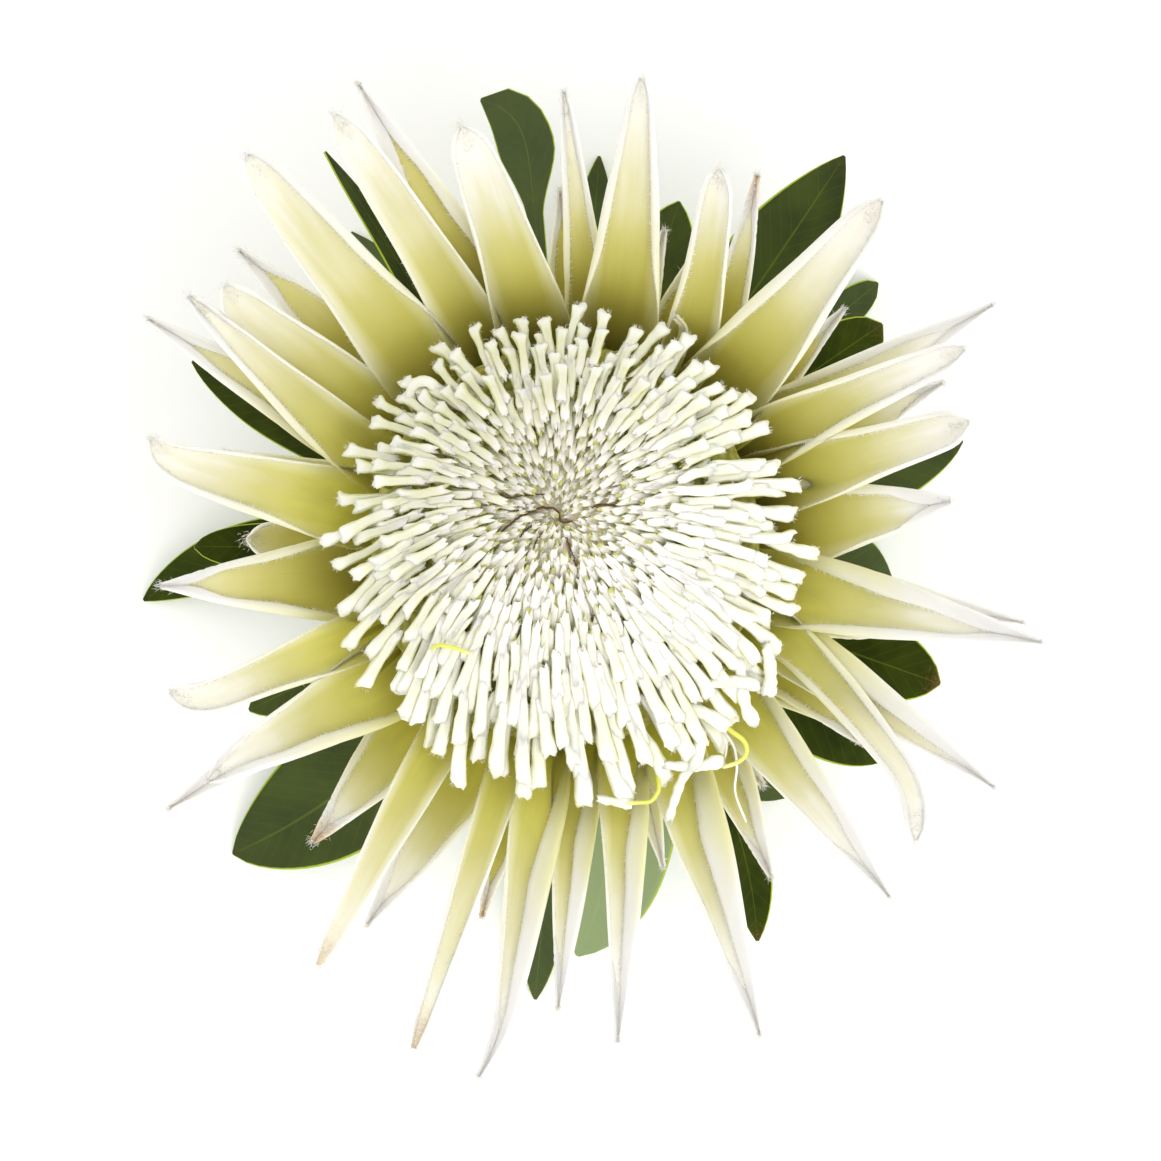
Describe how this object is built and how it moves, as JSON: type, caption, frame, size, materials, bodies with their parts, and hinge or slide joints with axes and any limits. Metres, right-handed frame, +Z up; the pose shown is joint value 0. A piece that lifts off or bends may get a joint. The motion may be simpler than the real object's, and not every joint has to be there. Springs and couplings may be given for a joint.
{
  "type": "protea flower",
  "caption": "Cut king protea flower head, face up on its short stem: a white floret dome in rings of green and white bracts, with leaves below.",
  "frame": {"origin": "on the surface that the flower rests on, under the middle of its outline seen from above", "axes": "+Z up along the flower's axis, +X to the picture's right, +Y to the picture's top"},
  "size_m": [0.1871, 0.2052, 0.1101],
  "materials": {
    "stem": "matt bark",
    "receptacle": "matt woody scales",
    "bracts": "silky, hairy at the margins",
    "florets": "velvety",
    "leaves": "satin, leathery"
  },
  "bodies": {
    "root": {"stem": "stem", "receptacle": "receptacle", "bracts_inner": "bracts", "bracts_middle": "bracts", "bracts_outer": "bracts", "floret_head": "florets", "leaf_01": "leaves", "leaf_02": "leaves", "leaf_03": "leaves", "leaf_04": "leaves", "leaf_05": "leaves", "leaf_06": "leaves", "leaf_07": "leaves", "leaf_08": "leaves", "leaf_09": "leaves", "leaf_10": "leaves", "leaf_11": "leaves", "leaf_12": "leaves", "leaf_13": "leaves", "leaf_14": "leaves", "leaf_15": "leaves", "leaf_16": "leaves", "leaf_17": "leaves", "leaf_18": "leaves", "leaf_19": "leaves", "leaf_20": "leaves", "leaf_21": "leaves"}
  },
  "joints": []
}
